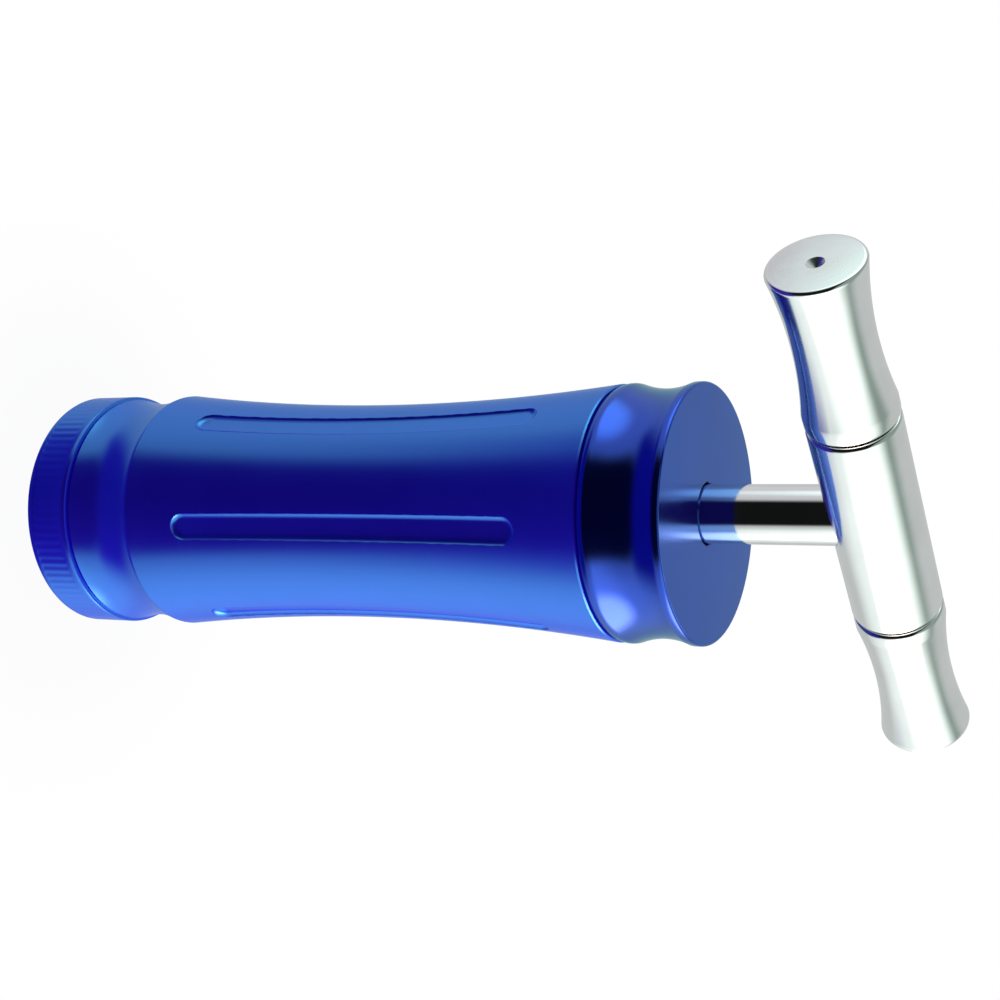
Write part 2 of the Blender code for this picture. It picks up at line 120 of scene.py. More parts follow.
SHOULDER = 105.4 * MM
THREAD_BOTTOM = 76.8 * MM
JOURNAL_RADIUS = 4.0 * MM
NECK_RADIUS = 3.2 * MM
NECK = (71.0 * MM, 72.6 * MM)
BALL_POCKET_RADIUS = 2.8 * MM
BALL_POCKET_TOP = 68.7 * MM
SCREW_CHAMBER_RADIUS = 6.6 * MM
SCREW_CHAMBER_TOP = 107.0 * MM
WIPER_GROOVE_RADIUS = 6.3 * MM
WIPER_GROOVE = (108.2 * MM, 110.2 * MM)
WIPER_RADIUS = 0.7 * MM
WIPER_RING_RADIUS = 5.4 * MM
ROD_RADIUS = 2.5 * MM
ROD_HALF = 30.0 * MM
GRIP_LAND = 19.6 * MM
GRIP_SAG = 0.98 * MM
DIMPLE_RADIUS = 1.15 * MM
DIMPLE_DEPTH = 1.0 * MM
DIMPLE_TIP = 0.175 * MM
SEAM_LIP = 0.6 * MM
END_LIP = 0.5 * MM

# Flutes of the barrel
FLUTE_COUNT = 6
FLUTE_TURN = math.radians(-3.4)
FLUTE_LOW = 28.7 * MM
FLUTE_HIGH = 89.1 * MM
FLUTE_FLOOR = 1.15 * MM
FLUTE_FILLET = 1.3 * MM
FLUTE_DEPTH = 0.56 * MM
FLUTE_END = 2.05 * MM

# The stage. The floor lies just under the lowest place that the base cap unscrews to
FLOOR_DROP = 7.8 * MM
FLOOR_RADIUS = 0.6
DOME_RADIUS = 3.0
DOME_STEPS = 24

# Knurl and screw threads
RIB_COUNT = 90
RIB_DEPTH = 0.035 * MM
RIB_BAND = (0.9 * MM, 6.7 * MM)
RIB_TAPER = 0.5 * MM
CAP_LEAD = 1.5 * MM
CAP_THREAD_DEPTH = 0.55 * MM
SPINDLE_LEAD = 3.0 * MM
SPINDLE_THREAD_DEPTH = 1.1 * MM

# Camera
CAMERA_PLACE = Vector((-158.5, -174.7, 201.6)) * MM
CAMERA_AIM = Vector((6.59, 10.16, 71.32)) * MM
CAMERA_ROLL = math.radians(90.29)
CAMERA_LENS = 62.65

# Materials: noise scales, how little lathe marks change with the angle, the depth of the marks, and the
# clear coat over the anodising
LATHE_SCALE = 5200.0
SPECK_SCALE = 5200.0
SMUDGE_SCALE = 120.0
ANGLE_SHARE = 0.0002
MARK_DEPTH = 0.02 * MM
COAT_ROUGHNESS = 0.18
COAT_IOR = 1.6


# ---------------------------------------------------------------- shapes


def bow(start, end, sag, count):
    """Points after start, up to and with end, on the arc between them that dips by sag to the axis."""
    first, last = Vector(start), Vector(end)
    along = (last - first).normalized()
    inward = Vector((-abs(along.y), math.copysign(along.x, along.x * along.y)))
    inward *= math.copysign(1.0, sag)
    half = (last - first).length / 2
    radius = (half**2 + sag**2) / (2 * abs(sag))
    centre = (first + last) / 2 - inward * (radius - abs(sag))
    reach = math.asin(half / radius)
    points = []
    for step in range(1, count + 1):
        angle = reach * (2 * step / count - 1)
        points.append(centre + radius * (inward * math.cos(angle) + along * math.sin(angle)))
    return [tuple(point) for point in points]


def line(start, end, count):
    """Points after start, up to and with end, evenly spaced."""
    ends = np.array(start), np.array(end)
    return [tuple(ends[0] + (ends[1] - ends[0]) * step / count) for step in range(1, count + 1)]


def corner(radius, height, edge, turn):
    """A small rounded corner of three points. turn is one of the pairs of sides above."""
    (side_r, side_z), (next_r, next_z) = turn
    middle = 0.29 * edge
    return [
        (radius + side_r * edge, height + side_z * edge),
        (radius + (side_r + next_r) * middle, height + (side_z + next_z) * middle),
        (radius + next_r * edge, height + next_z * edge),
    ]


def lip(radius, height, size, inward):
    """A quarter round from an end face to the side. inward is 1 where the piece lies above the face."""
    points = []
    for step in range(LIP_STEPS + 1):
        angle = math.pi / 2 * step / LIP_STEPS
        reach = radius - size + size * math.sin(angle)
        points.append((reach, height + inward * size * (1 - math.cos(angle))))
    return points


def smooth(value, low, high):
    """0 below low, 1 above high, and a smooth step between."""
    share = np.clip((value - low) / (high - low), 0, 1)
    return share * share * (3 - 2 * share)


def revolve(name, outline, looks, segments, ring=False, warp=None):
    """A turned mesh. warp(angle, radius, height) may change each point's radius."""
    profile = np.array(outline, float)
    angles = np.arange(segments) * math.tau / segments
    points, rows = [], []
    for radius, height in profile:
        if radius < 1e-9:
            rows.append([len(points)])
            points.append((0.0, 0.0, height))
            continue
        reach = np.full(segments, radius)
        if warp:
            reach = warp(angles, reach, height)
        rows.append(list(range(len(points), len(points) + segments)))
        x, y = reach * np.cos(angles), reach * np.sin(angles)
        points.extend(zip(x, y, [height] * segments))
    faces = []
    pairs = list(zip(rows, rows[1:]))
    if ring:
        pairs.append((rows[-1], rows[0]))
    for upper, lower in pairs:
        for step in range(segments):
            after = (step + 1) % segments
            if len(upper) == 1:
                faces.append((upper[0], lower[step], lower[after]))
            elif len(lower) == 1:
                faces.append((upper[step], lower[0], upper[after]))
            else:
                faces.append((upper[step], lower[step], lower[after], upper[after]))
    mesh = bpy.data.meshes.new(name)
    mesh.from_pydata([tuple(map(float, point)) for point in points], [], faces)
    mesh.shade_smooth()
    mesh.set_sharp_from_angle(angle=SHARP_ANGLE)
    made = bpy.data.objects.new(name, mesh)
    bpy.context.scene.collection.objects.link(made)
    for look in looks:
        mesh.materials.append(look)
    return made


def thread(lead, depth, low, high, crest):
    """A warp that cuts a right-hand screw thread between two heights, with a run-out at each end."""

    def warp(angle, radius, height):
        fade = smooth(height, low, low + lead / 2) * smooth(-height, -high, -high + lead / 2)
        phase = (height / lead - angle / math.tau) % 1.0
        groove = smooth(1 - np.abs(2 * phase - 1), 0.25, 0.85)
        return np.where(radius > crest - NEAR, radius - depth * fade * groove, radius)

    return warp


def knurl(angle, radius, height):
    """A warp that cuts straight ribs into the base's rim."""
    low, high = RIB_BAND
    fade = smooth(height, low, low + RIB_TAPER) * smooth(-height, -high, -high + RIB_TAPER)
    wave = 0.5 - 0.5 * np.cos(angle * RIB_COUNT)
    return np.where(radius > BASE_RADIUS - NEAR, radius - RIB_DEPTH * fade * wave, radius)


def finish_piece(piece, body, slot, *nodes):
    """Rides a piece on its body and puts it in place of its CAD nodes."""
    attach(piece, body)
    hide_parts(*nodes)


def lay_along_x(piece, turn, height):
    """Turns a piece's mesh so that its own Z points along X, and lifts it to a height."""
    points = np.array([vertex.co for vertex in piece.data.vertices])
    x = points[:, 2] * turn
    y = points[:, 1]
    z = -points[:, 0] * turn + height
    piece.data.vertices.foreach_set("co", np.stack([x, y, z], 1).ravel())
    piece.data.update()


def plug(name, radius, low, high, look, segments):
    """A plain round cutter between two heights."""
    return revolve(name, [(0, high), (radius, high), (radius, low), (0, low)], [look], segments)


def cut(piece, tool):
    """Cuts a tool's shape out of a piece, and removes the tool."""
    boolean = piece.modifiers.new("cut", "BOOLEAN")
    boolean.operation = "DIFFERENCE"
    boolean.solver = "EXACT"
    boolean.object = tool
    bpy.context.view_layer.update()
    graph = bpy.context.evaluated_depsgraph_get()
    mesh = bpy.data.meshes.new_from_object(piece.evaluated_get(graph))
    piece.modifiers.clear()
    piece.data = mesh
    mesh.name = piece.name
    bpy.data.objects.remove(tool, do_unlink=True)
    mesh.shade_smooth()
    mesh.set_sharp_from_angle(angle=SHARP_ANGLE)


# ---------------------------------------------------------------- barrel


def waist_arc():
    """The waist's arc: the height of its middle, its radius, and its centre's distance from the axis."""
    half = (BARREL_TOP - EDGE - CREST) / 2
    arc_radius = (half**2 + WAIST_SAG**2) / (2 * WAIST_SAG)
    return CREST + half, arc_radius, BODY_RADIUS - WAIST_SAG + arc_radius


def waist_radius(height):
    """The barrel's outside radius at a height between the crest and the top."""
    middle, arc_radius, centre = waist_arc()
    return centre - np.sqrt(arc_radius**2 - (height - middle) ** 2)


def flute_ring(spread):
    """The points (height, across) round a slot of half width spread, and how many lie along one side."""
    low, high = FLUTE_LOW + FLUTE_END, FLUTE_HIGH - FLUTE_END
    side_steps, end_steps = 40, 16
    points = [(low + (high - low) * step / side_steps, spread) for step in range(side_steps + 1)]
    for step in range(1, end_steps):
        angle = math.pi * step / end_steps
        points.append((high + spread * math.sin(angle), spread * math.cos(angle)))
    points += [(high - (high - low) * step / side_steps, -spread) for step in range(side_steps + 1)]
    for step in range(1, end_steps):
        angle = math.pi * step / end_steps
        points.append((low - spread * math.sin(angle), -spread * math.cos(angle)))
    return points, side_steps + 1


def flute_tool(index):
    """A cutter for one flute: a flat floor, filleted sides and round ends, bent along the waist."""
    turn = FLUTE_TURN + index * math.tau / FLUTE_COUNT
    fillet_steps, clear_of_barrel = 12, 4 * MM
    rows = [(0.0, 0.0)]
    for step in range(1, fillet_steps + 1):
        angle = math.pi / 2 * step / fillet_steps
        rows.append((FLUTE_FILLET * math.sin(angle), FLUTE_FILLET * (1 - math.cos(angle))))
    rows.append((FLUTE_FILLET, clear_of_barrel))
    points = []
    for wider, rise in rows:
        ring, along = flute_ring(FLUTE_FLOOR + wider)
        for height, across in ring:
            out = waist_radius(height) - FLUTE_DEPTH + rise
            x = out * math.cos(turn) - across * math.sin(turn)
            y = out * math.sin(turn) + across * math.cos(turn)
            points.append((x, y, height))
    size = len(ring)
    faces = []
    for row in range(len(rows) - 1):
        for step in range(size):
            after = (step + 1) % size
            first, second = row * size, (row + 1) * size
            faces.append((first + step, first + after, second + after, second + step))
    far = size // 2
    for first, flip in ((0, -1), ((len(rows) - 1) * size, 1)):
        for step in range(along - 1):
            across_from = far + along - 1 - step
            quad = (first + step, first + step + 1, first + across_from - 1, first + across_from)
            faces.append(quad[::flip])
        faces.append(tuple(range(first + along - 1, first + far + 1))[::flip])
        faces.append((*range(first + far + along - 1, first + size), first)[::flip])
    mesh = bpy.data.meshes.new("flute_tool")
    mesh.from_pydata(points, [], faces)
    tool = bpy.data.objects.new("flute_tool", mesh)
    bpy.context.scene.collection.objects.link(tool)
    return tool


def waist_normals(points):
    """The outward directions of the waist at some points."""
    middle, arc_radius, centre = waist_arc()
    flat = np.hypot(points[:, 0], points[:, 1])
    lean = (points[:, 2] - middle) / arc_radius
    level = np.sqrt(1 - lean**2)
    outward = points[:, :2] / flat[:, None] * level[:, None]
    return np.column_stack([outward, -lean])


def flute_normals(points):
    """The directions out of the nearest flute's floor or fillet at some points."""
    angles = np.arctan2(points[:, 1], points[:, 0]) - FLUTE_TURN
    pitch = math.tau / FLUTE_COUNT
    middle = np.round(angles / pitch) * pitch + FLUTE_TURN
    cosines, sines = np.cos(middle), np.sin(middle)
    across = points[:, 1] * cosines - points[:, 0] * sines
    height = np.clip(points[:, 2], FLUTE_LOW + FLUTE_END, FLUTE_HIGH - FLUTE_END)
    beyond = points[:, 2] - height
    kept = np.minimum(1.0, FLUTE_FLOOR / np.maximum(np.hypot(across, beyond), 1e-9))
    across, height = across * kept, height + beyond * kept
    reach = waist_radius(height) - FLUTE_DEPTH + FLUTE_FILLET
    ball = np.column_stack([reach * cosines - across * sines, reach * sines + across * cosines, height])
    away = ball - points
    return away / np.linalg.norm(away, axis=1)[:, None]


def true_normals(mesh):
    """Gives the waist and its flutes the normals of their true surfaces, so the cuts shade smoothly."""
    count = len(mesh.polygons)
    centres = np.zeros(count * 3)
    mesh.polygons.foreach_get("center", centres)
    centres = centres.reshape(-1, 3)
    radius = np.hypot(centres[:, 0], centres[:, 1])
    height = centres[:, 2]
    outside = (radius > THREAD_BORE_RADIUS + MM) & (height > CREST) & (height < BARREL_TOP - EDGE)
    in_flute = outside & (radius < waist_radius(height) - 2 * NEAR)
    loops = len(mesh.loops)
    owner = np.zeros(loops, int)
    starts, totals = np.zeros(count, int), np.zeros(count, int)
    mesh.polygons.foreach_get("loop_start", starts)
    mesh.polygons.foreach_get("loop_total", totals)
    for index, (start, total) in enumerate(zip(starts, totals)):
        owner[start : start + total] = index
    corners = np.zeros(loops, int)
    mesh.loops.foreach_get("vertex_index", corners)
    places = np.zeros(len(mesh.vertices) * 3)
    mesh.vertices.foreach_get("co", places)
    at = places.reshape(-1, 3)[corners]
    normals = np.zeros((loops, 3))
    plain = (outside & ~in_flute)[owner]
    fluted = in_flute[owner]
    normals[plain] = waist_normals(at[plain])
    normals[fluted] = flute_normals(at[fluted])
    mesh.normals_split_custom_set([tuple(normal) for normal in normals])


def make_barrel(look):
    """The barrel: waist, crest and scoop outside, bore and counterbores inside, and six flutes."""
    outline = corner(BODY_RADIUS, BARREL_TOP, EDGE, TOP_TO_SIDE)
    outline += bow(outline[-1], (BODY_RADIUS, CREST), WAIST_SAG, 90)
    for inward, down in ((0.03 * MM, 0.25 * MM), (0.1 * MM, 0.5 * MM)):
        outline.append((BODY_RADIUS - inward, CREST - down))
    foot = (BODY_RADIUS - EDGE, BARREL_BOTTOM + 0.2 * MM)
    outline += bow(outline[-1], foot, SCOOP_SAG, 36)
    outline += [
        (BODY_RADIUS - 0.55 * MM, BARREL_BOTTOM),
        (THREAD_BORE_RADIUS + GAP, BARREL_BOTTOM),
        (THREAD_BORE_RADIUS, BARREL_BOTTOM + GAP),
        (THREAD_BORE_RADIUS, LOWER_STEP),
        (BORE_RADIUS, LOWER_STEP),
        (BORE_RADIUS, UPPER_STEP),
        (THREAD_BORE_RADIUS, UPPER_STEP),
        (THREAD_BORE_RADIUS, BARREL_TOP - GAP),
        (THREAD_BORE_RADIUS + GAP, BARREL_TOP),
    ]
    piece = revolve("barrel_body", outline, [look], FINE, ring=True)
    for index in range(FLUTE_COUNT):
        cut(piece, flute_tool(index))
    true_normals(piece.data)
    finish_piece(piece, "barrel", "blue_anodised", "barrel")


# ---------------------------------------------------------------- base and top cap


def make_base(look):
    """The base cap with its knurled rim and threaded spigot."""
    groove_top = BASE_RIM_TOP + SEAL_GROOVE_HEIGHT
    outline = [(0, SPIGOT_TOP), (SPIGOT_RADIUS - 2 * EDGE, SPIGOT_TOP)]
    outline.append((SPIGOT_RADIUS - 2 * NEAR, SPIGOT_TOP - 2 * EDGE))
    outline.append((SPIGOT_RADIUS, SPIGOT_TOP - 2.1 * EDGE))
    outline += line(outline[-1], (SPIGOT_RADIUS, groove_top), 30)
    outline += [(SEAL_GROOVE_RADIUS, groove_top), (SEAL_GROOVE_RADIUS, BASE_RIM_TOP)]
    outline += corner(BASE_RADIUS, BASE_RIM_TOP, EDGE, TOP_TO_SIDE)
    outline += line(outline[-1], (BASE_RADIUS, RIB_BAND[1]), 2)
    for height in (RIB_BAND[1] - RIB_TAPER, RIB_BAND[0] + RIB_TAPER, RIB_BAND[0]):
        outline += line(outline[-1], (BASE_RADIUS, height), 4)
    outline += corner(BASE_RADIUS, 0, EDGE, SIDE_TO_BOTTOM)
    outline.append((0, 0))
    screw = thread(CAP_LEAD, CAP_THREAD_DEPTH, groove_top, SPIGOT_TOP - 2 * EDGE, SPIGOT_RADIUS)

    def warp(angle, radius, height):
        if height > BASE_RIM_TOP:
            return screw(angle, radius, height)
        return knurl(angle, radius, height)

    piece = revolve("base_cap_body", outline, [look], RIB_COUNT * 6, warp=warp)
    finish_piece(piece, "base_cap", "blue_anodised", "base_cap")


def make_top_cap(look, face_look):
    """The scooped top cap, with its threaded spigot, the nut's boss and the spindle bore."""
    groove_low = CAP_BOTTOM - SEAL_GROOVE_HEIGHT
    bead_top = (CAP_RADIUS - 0.1 * MM, CAP_BOTTOM + CAP_BEAD_HEIGHT)
    outline = [(CAP_RADIUS - CAP_RIM_ROUND, CAP_TOP)]
    outline += bow(outline[-1], (CAP_RADIUS, CAP_TOP - CAP_RIM_ROUND), -0.12 * MM, 5)
    outline.append((CAP_RADIUS, CAP_TOP - CAP_RIM_HEIGHT))
    outline += bow(outline[-1], bead_top, CAP_SCOOP_SAG, 40)
    outline += bow(outline[-1], (CAP_RADIUS - 0.3 * MM, CAP_BOTTOM), -0.2 * MM, 10)
    outline += [
        (SEAL_GROOVE_RADIUS, CAP_BOTTOM),
        (SEAL_GROOVE_RADIUS, groove_low),
        (SPIGOT_RADIUS, groove_low),
    ]
    outline += line(outline[-1], (SPIGOT_RADIUS, SPIGOT_BOTTOM + 2.1 * EDGE), 44)
    outline += [
        (SPIGOT_RADIUS - 2 * NEAR, SPIGOT_BOTTOM + 2 * EDGE),
        (SPIGOT_RADIUS - 2 * EDGE, SPIGOT_BOTTOM),
        (BOSS_RADIUS, SPIGOT_BOTTOM),
        (BOSS_RADIUS, BOSS_BOTTOM + EDGE),
        (BOSS_RADIUS - EDGE, BOSS_BOTTOM),
        (NUT_POCKET_RADIUS, BOSS_BOTTOM),
        (NUT_POCKET_RADIUS, CIRCLIP_GROOVE[0]),
        (CIRCLIP_GROOVE_RADIUS, CIRCLIP_GROOVE[0]),
        (CIRCLIP_GROOVE_RADIUS, CIRCLIP_GROOVE[1]),
        (NUT_POCKET_RADIUS, CIRCLIP_GROOVE[1]),
        (NUT_POCKET_RADIUS, NUT_TOP + GAP),
        (SCREW_CHAMBER_RADIUS, NUT_TOP + GAP),
        (SCREW_CHAMBER_RADIUS, SCREW_CHAMBER_TOP),
        (SPINDLE_BORE_RADIUS, SCREW_CHAMBER_TOP),
        (SPINDLE_BORE_RADIUS, WIPER_GROOVE[0]),
        (WIPER_GROOVE_RADIUS, WIPER_GROOVE[0]),
        (WIPER_GROOVE_RADIUS, WIPER_GROOVE[1]),
        (SPINDLE_BORE_RADIUS, WIPER_GROOVE[1]),
        (SPINDLE_BORE_RADIUS, CAP_TOP - 0.2 * MM),
        (SPINDLE_BORE_RADIUS + 0.2 * MM, CAP_TOP),
    ]
    screw = thread(CAP_LEAD, CAP_THREAD_DEPTH, SPIGOT_BOTTOM + 2 * EDGE, groove_low, SPIGOT_RADIUS)

    def warp(angle, radius, height):
        if height < groove_low:
            return np.where(radius < SPIGOT_RADIUS + NEAR, screw(angle, radius, height), radius)
        return radius

    piece = revolve("top_cap_body", outline, [look, face_look], FINE, ring=True, warp=warp)
    tool = plug("pin_tool", PIN_RADIUS, *PIN_HOLE, look, PIN_SEGMENTS)
    tool.location = (PIN_PLACE, 0, 0)
    cut(piece, tool)
    for polygon in piece.data.polygons:
        if polygon.center.z > CAP_TOP - NEAR:
            polygon.material_index = 1
    finish_piece(piece, "top_cap", "blue_anodised", "top_cap")


def make_o_ring(name, node, body, ring_radius, section, height, look):
    """A rubber O-ring."""
    outline = []
    steps = 20
    for step in range(steps):
        angle = -math.tau * step / steps
        outline.append((ring_radius + section * math.cos(angle), height + section * math.sin(angle)))
    piece = revolve(name, outline, [look], MEDIUM, ring=True)
    finish_piece(piece, body, "black_rubber", node)


# ---------------------------------------------------------------- spindle and crossbar


def make_spindle(look):
    """The spindle: smooth above its shoulder, a coarse screw below, and a journal for the piston."""
    outline = [(0, SPINDLE_TOP), (SPINDLE_RADIUS - EDGE, SPINDLE_TOP)]
    outline += [(SPINDLE_RADIUS, SPINDLE_TOP - EDGE), (SPINDLE_RADIUS, SHOULDER)]
    outline += corner(THREAD_RADIUS, SHOULDER, EDGE, TOP_TO_SIDE)
    outline += line(outline[-1], (THREAD_RADIUS, THREAD_BOTTOM + EDGE), 120)
    outline += [
        (THREAD_RADIUS - EDGE, THREAD_BOTTOM),
        (JOURNAL_RADIUS, THREAD_BOTTOM),
        (JOURNAL_RADIUS, NECK[1]),
        (NECK_RADIUS, NECK[1]),
        (NECK_RADIUS, NECK[0]),
        (JOURNAL_RADIUS, NECK[0]),
        (JOURNAL_RADIUS, JOURNAL_BOTTOM),
        (BALL_POCKET_RADIUS, JOURNAL_BOTTOM),
        (BALL_POCKET_RADIUS, BALL_POCKET_TOP),
        (0, BALL_POCKET_TOP),
    ]
    screw = thread(SPINDLE_LEAD, SPINDLE_THREAD_DEPTH, THREAD_BOTTOM, SHOULDER - MM, THREAD_RADIUS)
    piece = revolve("spindle_body", outline, [look], COARSE, warp=screw)
    tool = plug("rod_tool", ROD_RADIUS + GAP, -10 * MM, 10 * MM, look, TOOL_SEGMENTS)
    lay_along_x(tool, 1, BAR_HEIGHT)
    cut(piece, tool)
    finish_piece(piece, "spindle", "polished_chrome", "spindle")


def make_hub(look):
    """The crossbar's plain middle, bored along for the rod and from below for the spindle."""
    outline = lip(HUB_RADIUS, HUB_HALF, SEAM_LIP, -1)
    outline += lip(HUB_RADIUS, -HUB_HALF, SEAM_LIP, 1)[::-1]
    outline += [(ROD_RADIUS + GAP, -HUB_HALF), (ROD_RADIUS + GAP, HUB_HALF)]
    piece = revolve("hub_body", outline, [look], MEDIUM, ring=True)
    lay_along_x(piece, 1, BAR_HEIGHT)
    bottom = BAR_HEIGHT - 2 * HUB_RADIUS
    cut(piece, plug("spindle_tool", SPINDLE_RADIUS + GAP, bottom, SPINDLE_TOP + GAP, look, COARSE))
    finish_piece(piece, "spindle", "polished_chrome", "hub")


def make_grip(name, node, turn, look, face_look):
    """One waisted end of the crossbar, with a turned end face and its centre dimple."""
    outline = [(0, GRIP_END - DIMPLE_DEPTH), (DIMPLE_TIP, GRIP_END - 0.96 * DIMPLE_DEPTH)]
    outline.append((DIMPLE_RADIUS, GRIP_END - 0.08 * MM))
    outline.append((DIMPLE_RADIUS + 0.1 * MM, GRIP_END))
    outline += lip(GRIP_END_RADIUS, GRIP_END, END_LIP, -1)
    outline += bow(outline[-1], (HUB_RADIUS, GRIP_LAND), GRIP_SAG, 60)
    outline += lip(HUB_RADIUS, GRIP_START, SEAM_LIP, 1)[::-1]
    bore, rod_end = ROD_RADIUS + GAP, ROD_HALF + GAP
    outline += [(bore, GRIP_START), (bore, rod_end), (0, rod_end)]
    piece = revolve(name, outline, [look, face_look], MEDIUM)
    for polygon in piece.data.polygons:
        radius = math.hypot(polygon.center.x, polygon.center.y)
        if polygon.center.z > GRIP_END - DIMPLE_DEPTH and radius < GRIP_END_RADIUS - END_LIP:
            polygon.material_index = 1
    lay_along_x(piece, turn, BAR_HEIGHT)
    finish_piece(piece, "spindle", "polished_chrome", node)


# ---------------------------------------------------------------- materials


class Graph:
    """A small helper that adds nodes to a node tree and links them."""

    def __init__(self, tree):
        self.tree = tree
        tree.nodes.clear()

    def node(self, kind, **settings):
        """A new node with some of its properties set."""
        made = self.tree.nodes.new(kind)
        for key, value in settings.items():
            setattr(made, key, value)
        return made

    def feed(self, socket, value):
        """Links an output into a socket, or sets the socket to a plain value."""
        if isinstance(value, bpy.types.NodeSocket):
            self.tree.links.new(value, socket)
        else:
            socket.default_value = value

    def math(self, operation, first, second=0.0):
        """A Math node's output."""
        made = self.node("ShaderNodeMath", operation=operation)
        self.feed(made.inputs[0], first)
        self.feed(made.inputs[1], second)
        return made.outputs[0]

    def ranged(self, value, low, high, start, end, shape="LINEAR"):
        """A value moved from one range to another, and clamped."""
        made = self.node("ShaderNodeMapRange", clamp=True, interpolation_type=shape)
        for socket, given in zip(made.inputs, (value, low, high, start, end)):
            self.feed(socket, given)
        return made.outputs[0]

    def eased(self, value, low, high, start=0.0, end=1.0):
        """As ranged, with a smooth start and end."""
        return self.ranged(value, low, high, start, end, "SMOOTHSTEP")

    def mixed(self, share, first, second):
        """A colour mix's output."""
        made = self.node("ShaderNodeMix", data_type="RGBA")
        self.feed(made.inputs[0], share)
        self.feed(made.inputs[6], first)
        self.feed(made.inputs[7], second)
        return made.outputs[2]

    def noise(self, place, scale, detail=2.0, roughness=0.5):
        """A noise texture's value."""
        made = self.node("ShaderNodeTexNoise")
        self.feed(made.inputs["Vector"], place)
        self.feed(made.inputs["Scale"], scale)
        self.feed(made.inputs["Detail"], detail)
        self.feed(made.inputs["Roughness"], roughness)
        return made.outputs["Fac"]

    def bump(self, height, strength, distance, normal=None):
        """A bump's normal."""
        made = self.node("ShaderNodeBump")
        self.feed(made.inputs["Strength"], strength)
        self.feed(made.inputs["Distance"], distance)
        self.feed(made.inputs["Height"], height)
        if normal:
            self.feed(made.inputs["Normal"], normal)
        return made.outputs["Normal"]


def surface(name):
    """A new material: its graph, and its Principled shader."""
    made = bpy.data.materials.new(name)
    made.use_nodes = True
    graph = Graph(made.node_tree)
    shader = graph.node("ShaderNodeBsdfPrincipled")
    output = graph.node("ShaderNodeOutputMaterial")
    graph.feed(output.inputs["Surface"], shader.outputs["BSDF"])
    return made, graph, shader


def turning_place(graph, along_x):
    """The object's place, and the place for lathe marks: radius, height and a little of the angle."""
    place = graph.node("ShaderNodeTexCoord").outputs["Object"]
    parts = graph.node("ShaderNodeSeparateXYZ")
    graph.feed(parts.inputs[0], place)
    x, y, z = parts.outputs
    if along_x:
        height = graph.math("SUBTRACT", z, BAR_HEIGHT)
        x, y, z = y, height, x
    squares = graph.math("ADD", graph.math("MULTIPLY", x, x), graph.math("MULTIPLY", y, y))
    radius = graph.math("SQRT", squares)
    angle = graph.math("MULTIPLY", graph.math("ARCTAN2", y, x), ANGLE_SHARE)
    joined = graph.node("ShaderNodeCombineXYZ")
    for socket, value in zip(joined.inputs, (radius, z, angle)):
        graph.feed(socket, value)
    return place, joined.outputs[0]


def metal(name, colour, rough, marks, along_x=False, coat=0.0, grain=0.0, spread=0.05, dye=None):
    """A turned metal: lathe marks round its axis, fine grain, and smudges that vary its roughness.

    dye is for anodised metal: its metallic share, and its film's index and reflected tint.
    """
    made, graph, shader = surface(name)
    place, turned = turning_place(graph, along_x)
    lathe = graph.noise(turned, LATHE_SCALE, 3.0, 0.6)
    smudge = graph.noise(place, SMUDGE_SCALE, 4.0, 0.55)
    speck = graph.noise(place, SPECK_SCALE, 2.0, 0.7)
    lighter = tuple(min(1.0, channel * 1.03 + 0.002) for channel in colour)
    darker = tuple(channel * 0.96 for channel in colour)
    cloud = graph.ranged(smudge, 0.35, 0.65, 0.0, 1.0)
    graph.feed(shader.inputs["Base Color"], graph.mixed(cloud, (*darker, 1.0), (*lighter, 1.0)))
    shader.inputs["Metallic"].default_value = 1.0
    if dye:
        share, bend, tint = dye
        shader.inputs["Metallic"].default_value = share
        shader.inputs["IOR"].default_value = bend
        shader.inputs["Specular Tint"].default_value = (*tint, 1.0)
    uneven = graph.ranged(smudge, 0.3, 0.7, rough - spread, rough + spread)
    fine = graph.ranged(lathe, 0.3, 0.7, -spread * 0.5, spread * 0.5)
    graph.feed(shader.inputs["Roughness"], graph.math("ADD", uneven, fine))
    shader.inputs["Coat Weight"].default_value = coat
    shader.inputs["Coat Roughness"].default_value = COAT_ROUGHNESS
    shader.inputs["Coat IOR"].default_value = COAT_IOR
    grained = graph.bump(speck, grain, MARK_DEPTH)
    graph.feed(shader.inputs["Normal"], graph.bump(lathe, marks, MARK_DEPTH, grained))
    return made


def anodised(name, colour, rough, coat, grain, dye):
    """Turned aluminium with a dyed, clear-coated skin."""
    return metal(name, colour, rough, 0.15, coat=coat, grain=grain, spread=0.015, dye=dye)


def rubber(name):
    """Black rubber with a dusty bloom."""
    made, graph, shader = surface(name)
    place = graph.node("ShaderNodeTexCoord").outputs["Object"]
    bloom = graph.noise(place, 900.0, 5.0, 0.6)
    share = graph.ranged(bloom, 0.4, 0.7, 0.0, 1.0)
    tone = graph.mixed(share, (0.012, 0.012, 0.013, 1), (0.03, 0.03, 0.032, 1))
    graph.feed(shader.inputs["Base Color"], tone)
    graph.feed(shader.inputs["Roughness"], graph.ranged(bloom, 0.3, 0.7, 0.5, 0.75))
    graph.feed(shader.inputs["Normal"], graph.bump(bloom, 0.25, 0.03 * MM))
    return made


